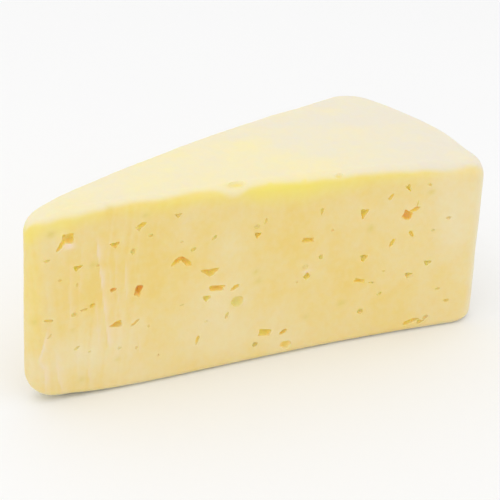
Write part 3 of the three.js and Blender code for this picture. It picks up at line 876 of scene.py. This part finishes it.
def gap_cutters(size, line):
    """All the openings: rows of face, opening and its cutter's points and triangles. Each has its number as
    its seed."""
    far_large = scattered_gaps(FAR_GAPS, 1, [], size, line)
    far = [*far_large, *scattered_gaps(SMALL_GAPS, 2, far_large, size, line)]
    jobs = [("near", gap, 0.0, gap_depth(gap)) for gap in (Gap(*row) for row in NEAR_GAPS)]
    jobs += [("far", gap, 0.0, gap_depth(gap)) for gap in far]
    for along, tilt, long, broad, depth in EDGE_CHIPS:
        chip = Gap(along, size.height / MM, long, broad, 0, 5)
        jobs.append(("near", chip, math.radians(tilt), depth))
    cutters = []
    for seed, (face, gap, tilt, depth) in enumerate(jobs):
        cutters.append((face, gap, *gap_cutter(gap, face, tilt, depth, seed, size, line)))
    return cutters


def too_close(cutter, other):
    """Whether two openings of one face lie within half of both lengths and the clearance."""
    (face, gap), (other_face, other_gap) = cutter[:2], other[:2]
    apart = math.hypot(other_gap.along - gap.along, other_gap.up - gap.up)
    reach = (max(other_gap.long, other_gap.broad) + max(gap.long, gap.broad)) / 2
    return face == other_face and apart <= reach + GAP_CLEARANCE


def sorted_in_batches(cutters):
    """Batches in which no two openings touch, so that each batch is one clean cut."""
    batches = []
    for cutter in cutters:
        free = [batch for batch in batches if not any(too_close(cutter, other) for other in batch)]
        if free:
            free[0].append(cutter)
        else:
            batches.append([cutter])
    return batches


# ---- Meshes ----


def new_mesh(name, points, triangles, material=None):
    """A mesh of triangles, filled in whole arrays."""
    mesh = bpy.data.meshes.new(name)
    mesh.vertices.add(len(points))
    mesh.vertices.foreach_set("co", points.astype(np.float32).ravel())
    mesh.loops.add(triangles.size)
    mesh.loops.foreach_set("vertex_index", triangles.astype(np.int32).ravel())
    mesh.polygons.add(len(triangles))
    mesh.polygons.foreach_set("loop_start", np.arange(0, triangles.size, 3, dtype=np.int32))
    mesh.update(calc_edges=True)
    mesh.validate()
    if material:
        mesh.materials.append(material)
    return mesh


def new_object(name, mesh):
    """A mesh, light or camera, put into the scene."""
    piece = bpy.data.objects.new(name, mesh)
    bpy.context.scene.collection.objects.link(piece)
    return piece


def joined_mesh(name, parts, material):
    """One mesh of several closed ones."""
    starts = np.cumsum([0] + [len(points) for points, _ in parts[:-1]])
    points = np.concatenate([points for points, _ in parts])
    triangles = np.concatenate([triangles + start for (_, triangles), start in zip(parts, starts)])
    return new_mesh(name, points, triangles, material)


def cut_away(piece, cutter):
    """Takes the cutter's solid out of the piece and keeps the result as its mesh. The new faces keep the
    cutter's material."""
    cut = piece.modifiers.new("Openings", "BOOLEAN")
    cut.operation = "DIFFERENCE"
    cut.solver = "MANIFOLD"
    cut.material_mode = "TRANSFER"
    cut.object = cutter
    graph = bpy.context.evaluated_depsgraph_get()
    graph.update()
    result = bpy.data.meshes.new_from_object(piece.evaluated_get(graph))
    piece.modifiers.clear()
    old = piece.data
    piece.data = result
    bpy.data.meshes.remove(old)
    bpy.data.objects.remove(cutter)


def read_values(items, name, kind, width=1):
    """One number for each item, or as many as the width, read as one array."""
    values = np.empty(len(items) * width, kind)
    items.foreach_get(name, values)
    return values


def mesh_points(mesh):
    """The places of the vertices, a row for each."""
    return read_values(mesh.vertices, "co", np.float32, 3).reshape(-1, 3).astype(float)


def inside_vertices(mesh):
    """Vertices that only faces of the second material use: the walls and floors of the openings."""
    slot = read_values(mesh.polygons, "material_index", np.int32)
    sides = read_values(mesh.polygons, "loop_total", np.int32)
    corner = read_values(mesh.loops, "vertex_index", np.int32)
    outer = np.zeros(len(mesh.vertices), bool)
    outer[corner[np.repeat(slot, sides) == 0]] = True
    return ~outer


def set_attribute(mesh, name, values):
    """Keeps one number for each vertex on the mesh."""
    layer = mesh.attributes.new(name, "FLOAT", "POINT")
    layer.data.foreach_set("value", values.astype(np.float32))


# ---- Colour masks, kept on the mesh ----


def opening_of(points, openings, line):
    """The number of the opening that each point lies in: the one that is nearest on the point's own cut
    face, by its distance over the opening's length."""
    own = np.zeros(len(points), int)
    least = np.full(len(points), np.inf)
    for number, (face, gap) in enumerate(openings):
        along, up, _ = face_place(points, line, face)
        apart = np.hypot(along / MM - gap.along, up / MM - gap.up) / max(gap.long, gap.broad)
        closer = (apart < least) & ((points[:, 1] > 0) == (face == "far"))
        own[closer] = number
        least[closer] = apart[closer]
    return own


def cream_and_lemon(at, inside):
    """cream: one less the product of what the top, the foot and the rim leave, each with an eased and uneven
    border, and less on the spots of the edge. lemon: the largest of a band under the top edge, which runs
    further down where it is strong, the upper part of the point, and the spots."""
    border = mix(FAR_BORDER, rounded_profile(at.along / MM, CREAM_BORDER), at.near)
    border = border + mix(*BORDER_UNEVEN, at.near) * layered_noise(at.points, *BORDER_NOISE)
    foot_border = FOOT_UNEVEN * layered_noise(at.points, *FOOT_NOISE)
    top = smoothstep(-BORDER_SOFT, BORDER_SOFT, at.past_top / MM - border)
    foot = smoothstep(-FOOT_SOFT, FOOT_SOFT, at.past_foot / MM - foot_border)
    rim = smoothstep(*RIM_CREAM, at.points[:, 0])
    spots = np.minimum(ovals(at.along, at.past_top, EDGE_SPOTS) * at.near, 1)
    cream = (1 - (1 - top) * (1 - foot) * (1 - rim)) * (1 - SPOT_SHARE * spots) * ~inside
    band = mix(FAR_BAND, rounded_profile(at.along / MM, LEMON_BAND), at.near)
    below = -at.past_top / MM + BAND_UNEVEN * layered_noise(at.points, *BAND_NOISE)
    fade = smoothstep(BAND_STARTS, BAND_ENDS[0] + BAND_ENDS[1] * band, below)
    at_point = (1 - smoothstep(*POINT_ALONG, at.along)) * smoothstep(*POINT_UP, at.up)
    lemon = np.maximum(np.maximum(band * (1 - fade), POINT_LEMON * at_point), spots)
    return cream, lemon


def pale_mark_and_olive(at, line):
    """pale: a level plus soft patches, a smear, noise and streaks. The second mask: the height of the drag
    marks and lips over that of a full one, whose paler colour on the lips is a painted highlight. The third:
    painted shade in blind dimples, shallow openings and dimples of the edge, added up."""
    smear_up = at.up + SMEAR_UNEVEN * layered_noise(at.points, *SMEAR_NOISE)
    smear = (1 - smoothstep(*SMEAR_ALONG, at.along)) * at.near * (1 - smoothstep(*SMEAR_UP, smear_up))
    patches = (ovals(at.along, at.up, TONE_PATCHES) + SMEAR_PALE * smear) * at.near
    pale = PALE_LEVEL + patches + PALE_UNEVEN * layered_noise(at.points, *PALE_NOISE)
    pale = pale + PALE_STREAKS * streaks(at.points, line)
    mark = drag_ridges(at.points, line) / FULL_MARK
    # On the lips the paler colour is a painted highlight.
    mark = mark + ovals(at.along, at.up, LIPS) * at.near / FULL_LIP_HIGHLIGHT
    # Painted shade in dark greenish yellow, more where a dimple is deeper.
    olive = DIMPLE_SHADE * ovals(at.along, at.up, BLIND_DIMPLES) + ovals(at.along, at.up, OLIVE_SHADE_PLACES)
    olive = (olive + ovals(at.along, at.past_top, EDGE_DIMPLES)) * at.near
    return pale, mark, olive


def butter_of(points):
    """How yellow the cream is: more towards the point, with noise drawn out along X and soft patches."""
    butter = BUTTER_MOST * smoothstep(*BUTTER_ALONG, share_of_length(points[:, 0]))
    butter = butter + BUTTER_UNEVEN * layered_noise(points, *BUTTER_NOISE)
    return butter + ovals(points[:, 0], points[:, 1], TOP_PATCHES)


def gap_and_amber(at, inside, openings, line):
    """Painted shade and warm interreflected light in the openings. gap: an eased rise with the depth behind
    the nearer cut face, inside the openings only. The second mask: how far an opening's painted shade runs
    from dull to warm, a level less the dullness of the small ones, plus tints and noise."""
    nearest = np.minimum(at.depth, face_place(at.points, line, "far")[2])
    gap = np.where(inside, smoothstep(0, FULL_GAP_SHADE, nearest), 0)
    across = np.array([mean_extent(opening) for _, opening in openings])
    dull = np.zeros(len(at.points))
    dull[inside] = smoothstep(*DULL_GAP_SHADE, across)[opening_of(at.points[inside], openings, line)]
    amber = AMBER_LEVEL - DULLNESS * dull + TINT_SHARE * ovals(at.along, at.up, GAP_SHADE_TINTS) * at.near
    return gap, amber + AMBER_UNEVEN * noise(at.points, *AMBER_NOISE)


def colour_masks(points, inside, openings, size, line):
    """All the masks by name, as shares from 0 to 1 for each vertex. near is 1 on the near cut face and falls
    to 0 behind it, so that the far face takes its own border and band and none of the near one's places."""
    along, up, depth = face_place(points, line, "near")
    past_top, past_foot = edge_place(points, size, line)
    near = 1 - smoothstep(*NEAR_COLOURS, depth)
    at = SimpleNamespace(
        points=points, along=along, up=up, depth=depth, past_top=past_top, past_foot=past_foot, near=near
    )
    inside = inside & (past_top < -CHIP_REACH)
    cream, lemon = cream_and_lemon(at, inside)
    pale, mark, olive = pale_mark_and_olive(at, line)
    gap, amber = gap_and_amber(at, inside, openings, line)
    names = ("cream", "lemon", "pale", "butter", "mark", "olive", "gap", "amber")
    masks = (cream, lemon, pale, butter_of(points), mark, olive, gap, amber)
    return {name: np.clip(values, 0, 1) for name, values in zip(names, masks)}


# ---- Materials ----


class Nodes:
    """Short calls for building a material's node tree."""

    def __init__(self, name):
        self.material = bpy.data.materials.new(name)
        self.material.use_nodes = True
        self.tree = self.material.node_tree
        self.tree.nodes.clear()

    def add(self, kind, inputs, **settings):
        """A node with its settings, each of its inputs linked to a socket or given a number or colour."""
        node = self.tree.nodes.new("ShaderNode" + kind)
        for name, value in settings.items():
            setattr(node, name, value)
        for name, value in inputs.items():
            if isinstance(value, bpy.types.NodeSocket):
                self.tree.links.new(value, node.inputs[name])
            else:
                node.inputs[name].default_value = value
        return node

    def attribute(self, name):
        """A mask that the mesh keeps."""
        return self.add("Attribute", {}, attribute_name=name).outputs["Fac"]

    def noise(self, scale, detail):
        """Noise on Object coordinates: scale is the number of cells to a metre."""
        place = self.add("TexCoord", {}).outputs["Object"]
        return self.add("TexNoise", {"Vector": place, "Scale": scale, "Detail": detail}).outputs["Fac"]

    def math(self, operation, first, second, clamp=False):
        """A sum, difference or product, held between 0 and 1 if it is clamped."""
        node = self.add("Math", {0: first, 1: second}, operation=operation, use_clamp=clamp)
        return node.outputs[0]

    def swing(self, value, share):
        """A value from 0 to 1 moved to lie around 0, times a share."""
        return self.math("MULTIPLY", self.math("SUBTRACT", value, 0.5), share)

    def mixed(self, share, first, second):
        """The first colour, mixed with the second by a share."""
        node = self.add("Mix", {"Factor": share, 6: first, 7: second}, data_type="RGBA")
        return node.outputs[2]

    def ranged(self, value, low, high, to_low=0.0, to_high=1.0):
        """An eased rise from to_low to to_high between low and high."""
        limits = {"From Min": low, "From Max": high, "To Min": to_low, "To Max": to_high}
        node = self.add("MapRange", {"Value": value, **limits}, interpolation_type="SMOOTHSTEP")
        return node.outputs["Result"]

    def surface(self, inputs):
        """The finished material: one surface with these inputs."""
        bsdf = self.add("BsdfPrincipled", inputs)
        self.add("OutputMaterial", {"Surface": bsdf.outputs["BSDF"]})
        return self.material


def rgba(colour):
    """The colour, opaque."""
    return (*colour, 1.0)


def paste_material(colours, size):
    """Waxy cheese paste. Colour: deep to pale paste with fine mottling, a lemon band, pale drag marks with a
    painted highlight on the lips, painted shade and warm interreflected light in the openings from dull to
    orange, cream with butter-yellow places, and painted shade in the dimples. Bump: fine curd grain."""
    n = Nodes("Cheese Paste")
    mottle = n.noise(*MOTTLE)
    fine = n.swing(mottle, MOTTLE_SHARE)
    broad = n.swing(n.noise(*BLOTCH), BLOTCH_SHARE)
    tone = n.math("ADD", n.math("ADD", n.attribute("pale"), fine), broad, clamp=True)
    butter = n.math("ADD", n.math("ADD", n.attribute("butter"), fine), broad, clamp=True)
    skin = n.mixed(butter, rgba(colours.cream), rgba(colours.butter))
    # Painted shade and warm interreflected light inside the openings, laid on with depth.
    amber = n.attribute("amber")
    inner = n.mixed(n.ranged(amber, 0.0, 0.5), rgba(colours.gap_dull_shade), rgba(colours.gap))
    inner = n.mixed(n.ranged(amber, 0.5, 1.0), inner, rgba(colours.gap_amber))
    colour = n.mixed(tone, rgba(colours.deep), rgba(colours.pale))
    colour = n.mixed(n.attribute("lemon"), colour, rgba(colours.lemon))
    # Pale drag marks, and a painted highlight on the lips.
    colour = n.mixed(n.math("MULTIPLY", n.attribute("mark"), MARK_SHARE), colour, rgba(colours.mark))
    colour = n.mixed(n.attribute("gap"), colour, inner)
    colour = n.mixed(n.attribute("cream"), colour, skin)
    # Painted shade in the dimples and shallow openings.
    colour = n.mixed(n.attribute("olive"), colour, rgba(colours.olive))
    coarse = n.math("MULTIPLY", n.noise(*COARSE_GRAIN), COARSE_SHARE)
    grain = n.math("ADD", n.noise(*FINE_GRAIN), coarse)
    bump = n.add("Bump", {"Height": grain, "Strength": GRAIN_STRENGTH, "Distance": GRAIN_HEIGHT})
    return n.surface(
        {
            "Base Color": colour,
            "Roughness": n.math("ADD", n.math("MULTIPLY", mottle, ROUGHNESS_SWING), ROUGHNESS),
            "IOR": 1.45,
            "Specular IOR Level": 0.4,
            "Subsurface Weight": n.ranged(n.attribute("gap"), 0.0, 1.0, 0.5, 1.0),
            "Subsurface Radius": (1.0, 0.7, 0.3),
            "Subsurface Scale": size.glow_depth,
            "Normal": bump.outputs["Normal"],
        }
    )


def floor_material(colour):
    """A dull floor whose tone drifts a little."""
    n = Nodes("Studio Floor")
    darker = [channel * FLOOR_DRIFT for channel in colour]
    tint = n.mixed(n.ranged(n.noise(*FLOOR_NOISE), *FLOOR_TURNS), rgba(colour), rgba(darker))
    return n.surface({"Base Color": tint, "Roughness": 0.9, "Specular IOR Level": 0.1})


# ---- Settings ----


def metres(name, description, default):
    """A length that the user can change."""
    return FloatProperty(
        name=name, description=description, default=default, min=0.0, unit="LENGTH", precision=5
    )


def degrees(name, description, default):
    """An angle that the user can change, its default given in degrees."""
    angle = math.radians(default)
    return FloatProperty(name=name, description=description, default=angle, subtype="ANGLE")


def number(name, description, default):
    """A number from 0 up that the user can change."""
    return FloatProperty(name=name, description=description, default=default, min=0.0)


def colour(name, description, default):
    """A colour that the user can change."""
    return FloatVectorProperty(
        name=name, description=description, default=default, subtype="COLOR", size=3, min=0.0, max=1.0
    )


class WedgeSize(PropertyGroup):
    half_angle: degrees("Half angle", "Angle between a cut face and the middle line", 12.4)
    height: metres("Height", "At the crest, close behind the point", 64 * MM)
    point_radius: metres("Point radius", "Rounding of the point in plan", 4 * MM)
    corner_radius: metres("Corner radius", "Rounding in plan between a cut face and the rim", 9.4 * MM)
    rim_radius: metres("Rim radius", "Radius of the whole cheese at the rim", 100 * MM)
    point_drop: metres("Point drop", "From the crest down to the point", 3.5 * MM)
    rim_drop: metres("Rim drop", "From the crest down to the rim", 6.8 * MM)
    crown: metres("Crown", "The top's middle over its edges", 0.6 * MM)
    foot_lift: metres("Foot lift", "The underside's rise under the point", 2.2 * MM)
    foot_curl: metres("Foot curl", "How far the point's foot draws back", 6.2 * MM)
    top_edge: metres("Top edge", "Rounding of the top edges", 3.6 * MM)
    foot_edge: metres("Foot edge", "Rounding of the bottom edges", 2.7 * MM)
    waves: metres("Waves", "Height of the broad unevenness", 0.22 * MM)
    lumps: metres("Lumps", "Height of the curd lumps", 0.1 * MM)
    mouth_round: metres("Mouth rounding", "Depth over which an opening's edge is rounded", 0.3 * MM)
    mouth_flare: number("Mouth flare", "How much wider an opening is at its edge", 0.14)
    glow_depth: metres("Glow depth", "How far light wanders inside the paste", 2 * MM)


class WedgeColours(PropertyGroup):
    deep: colour("Deep paste", "Most saturated cut paste", (0.853, 0.650, 0.212))
    pale: colour("Pale paste", "Least saturated cut paste", (0.861, 0.739, 0.441))
    lemon: colour("Lemon band", "Paste just under the top edge", (0.903, 0.778, 0.160))
    cream: colour("Cream", "Top, rim and underside", (0.829, 0.762, 0.604))
    butter: colour("Butter", "Yellower places of the cream", (0.905, 0.802, 0.450))
    # Drag marks are paler paste; on the lips this colour is a painted highlight.
    mark: colour("Marks", "Drag marks and lips", (0.886, 0.740, 0.570))
    # The openings' three colours are painted shade and warm interreflected light.
    gap: colour("Openings", "Walls and floors of the larger openings", (1.0, 0.780, 0.200))
    gap_amber: colour("Amber openings", "The warmest openings", (0.890, 0.520, 0.105))
    gap_dull_shade: colour("Olive openings", "The small and the dull openings", (0.900, 0.800, 0.310))
    # Painted shade of the dimples and shallow openings.
    olive: colour("Soft dimples", "Soft dimples of the paste", (0.740, 0.600, 0.150))


class StudioSettings(PropertyGroup):
    floor: colour("Floor", "Floor colour", (0.93, 0.93, 0.93))
    sky: number("Sky", "Strength of the even white light", 0.95)
    lamp: FloatProperty(
        name="Lamp", description="Power of the overhead soft box", default=1.2, min=0.0, unit="POWER"
    )
    distance: metres("Camera distance", "From the camera to its aim", 0.6)
    azimuth: degrees("Camera azimuth", "Turn round the wedge", -38.5)
    elevation: degrees("Camera elevation", "Angle above level", 26.5)
    roll: degrees("Camera roll", "The picture leans clockwise", 2.7)
    lens: number("Lens", "Focal length in millimetres", 134.8)
    aim: FloatVectorProperty(
        name="Aim",
        description="The aim's place right of and above the middle of the wedge, in the picture",
        default=(3.0 * MM, -1.25 * MM),
        size=2,
        unit="LENGTH",
    )


# ---- Operators ----


class CHEESE_OT_wedge(Operator):
    """Makes the wedge: its surface with relief, the openings cut out of it, and its paste"""

    bl_idname = "cheese.wedge"
    bl_label = "Cheese Wedge"
    bl_options = {"REGISTER", "UNDO"}

    def execute(self, context):
        size = context.scene.cheese_size
        line = near_line(size)
        material = paste_material(context.scene.cheese_colours, size)
        inner = bpy.data.materials.new("Opening")
        grid = wedge_grid(size, plan_outline(size, line))
        grid = grid + grid_normals(grid) * relief(grid, size, line)[..., None]
        piece = new_object("cheese", new_mesh("cheese", *lofted(grid), material))
        cutters = gap_cutters(size, line)
        for batch in sorted_in_batches(cutters):
            parts = [(points, triangles) for _, _, points, triangles in batch]
            cut_away(piece, new_object("cutter", joined_mesh("cutter", parts, inner)))
        mesh = piece.data
        inside = inside_vertices(mesh)
        if not inside.any():
            raise RuntimeError("no opening was cut")
        openings = [cutter[:2] for cutter in cutters]
        for name, values in colour_masks(mesh_points(mesh), inside, openings, size, line).items():
            set_attribute(mesh, name, values)
        mesh.polygons.foreach_set("material_index", np.zeros(len(mesh.polygons), np.int32))
        mesh.materials.clear()
        mesh.materials.append(material)
        mesh.shade_smooth()
        mesh.set_sharp_from_angle(angle=math.radians(SHARP_FROM))
        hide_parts(NODE)
        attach(piece, "root")
        return {"FINISHED"}


class CHEESE_OT_studio(Operator):
    """Makes the pale floor, the even sky, the overhead soft box and the camera"""

    bl_idname = "cheese.studio"
    bl_label = "Studio"
    bl_options = {"REGISTER", "UNDO"}

    def execute(self, context):
        studio = context.scene.cheese_studio
        self.make_floor(studio)
        self.make_lights(context, studio)
        self.make_camera(context, studio)
        context.scene.view_settings.view_transform = "Standard"
        return {"FINISHED"}

    def make_floor(self, studio):
        """A flat square at the height that the wedge stands on."""
        reach = np.array([-FLOOR_REACH, FLOOR_REACH])
        x, y = np.meshgrid(reach, reach)
        points = np.stack([x.ravel(), y.ravel(), np.zeros(4)], axis=1)
        triangles = np.array([[0, 1, 3], [0, 3, 2]])
        floor = new_object("floor", new_mesh("floor", points, triangles, floor_material(studio.floor)))

    def make_lights(self, context, studio):
        world = bpy.data.worlds.new("Studio Sky")
        world.use_nodes = True
        background = world.node_tree.nodes["Background"]
        background.inputs["Color"].default_value = (1, 1, 1, 1)
        background.inputs["Strength"].default_value = studio.sky
        context.scene.world = world
        light = bpy.data.lights.new("Soft Box", "AREA")
        light.shape = "DISK"
        light.size = SOFT_BOX_SIZE
        light.energy = studio.lamp
        lamp = new_object("soft_box", light)
        place = Vector(SOFT_BOX_AT)
        facing = (-place).to_track_quat("-Z", "Y").to_matrix().to_4x4()
        lamp.matrix_world = Matrix.Translation(place) @ facing

    def make_camera(self, context, studio):
        """The camera looks at the middle of the wedge, moved right and up in the picture, and is rolled
        about its line of sight."""
        turn, rise, roll = studio.azimuth, studio.elevation, studio.roll
        back = Vector(
            (math.sin(turn) * math.cos(rise), -math.cos(turn) * math.cos(rise), math.sin(rise))
        )
        right = Vector((0, 0, 1)).cross(back).normalized()
        up = back.cross(right)
        middle = Vector((0, 0, context.scene.cheese_size.height / 2))
        place = middle + right * studio.aim[0] + up * studio.aim[1] + back * studio.distance
        rolled_right = right * math.cos(roll) + up * math.sin(roll)
        rolled_up = up * math.cos(roll) - right * math.sin(roll)
        axes = Matrix((rolled_right, rolled_up, back)).transposed().to_4x4()
        camera = bpy.data.cameras.new("Camera")
        camera.sensor_width = SENSOR_WIDTH
        camera.lens = studio.lens
        camera.clip_start = NEAREST_SEEN
        eye = new_object("camera", camera)
        eye.matrix_world = Matrix.Translation(place) @ axes
        context.scene.camera = eye


class CHEESE_PT_panel(Panel):
    """Lists the sizes, the colours and the studio's settings, with the operators that use them"""

    bl_idname = "CHEESE_PT_panel"
    bl_label = "Cheese Wedge"
    bl_space_type = "VIEW_3D"
    bl_region_type = "UI"
    bl_category = "Cheese"

    def draw(self, context):
        layout = self.layout
        for label, group, operator in (
            ("Size", context.scene.cheese_size, CHEESE_OT_wedge),
            ("Colours", context.scene.cheese_colours, None),
            ("Studio", context.scene.cheese_studio, CHEESE_OT_studio),
        ):
            box = layout.box()
            box.label(text=label)
            for name in group.__annotations__:
                box.prop(group, name)
            if operator:
                box.operator(operator.bl_idname)


CLASSES = (WedgeSize, WedgeColours, StudioSettings, CHEESE_OT_wedge, CHEESE_OT_studio, CHEESE_PT_panel)


def register():
    for cls in CLASSES:
        bpy.utils.register_class(cls)
    bpy.types.Scene.cheese_size = PointerProperty(type=WedgeSize)
    bpy.types.Scene.cheese_colours = PointerProperty(type=WedgeColours)
    bpy.types.Scene.cheese_studio = PointerProperty(type=StudioSettings)


def unregister():
    del bpy.types.Scene.cheese_studio
    del bpy.types.Scene.cheese_colours
    del bpy.types.Scene.cheese_size
    for cls in reversed(CLASSES):
        bpy.utils.unregister_class(cls)


def main():
    register()
    bpy.ops.cheese.wedge()
    bpy.ops.cheese.studio()


if __name__ == "__main__":
    main()
